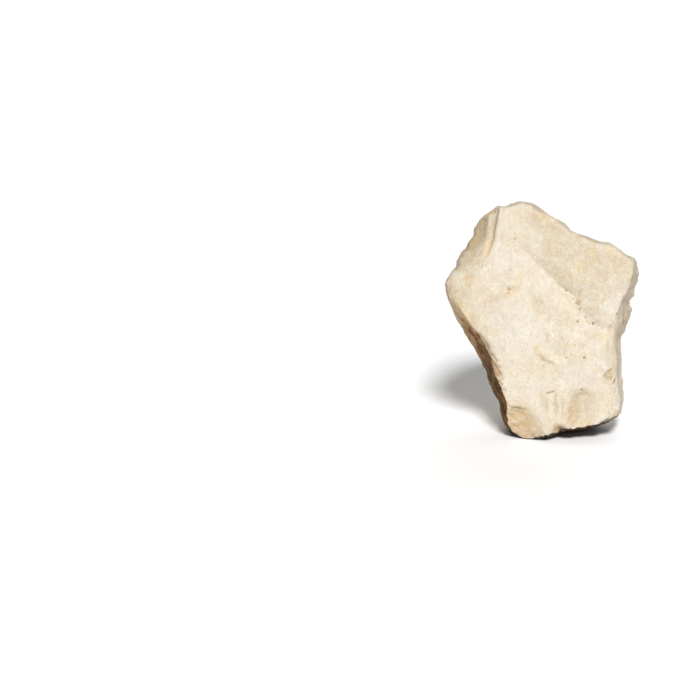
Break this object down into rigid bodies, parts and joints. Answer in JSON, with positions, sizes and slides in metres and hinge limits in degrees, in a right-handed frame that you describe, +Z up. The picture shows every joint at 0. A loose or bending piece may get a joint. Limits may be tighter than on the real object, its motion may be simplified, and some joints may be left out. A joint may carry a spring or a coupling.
{
  "type": "kaolin lump",
  "caption": "Raw lump of white kaolin clay stone, broad and blocky, standing upright on a small flat spot.",
  "frame": {"origin": "centre of the bounding box at its bottom, on the surface the lump stands on", "axes": "+Z up, +Y from the broad face into the lump, +X to the right seen from the broad face"},
  "size_m": [0.1456, 0.0915, 0.1759],
  "materials": {
    "kaolin": "matte"
  },
  "bodies": {
    "root": {"kaolin_lump": "kaolin"}
  },
  "joints": []
}
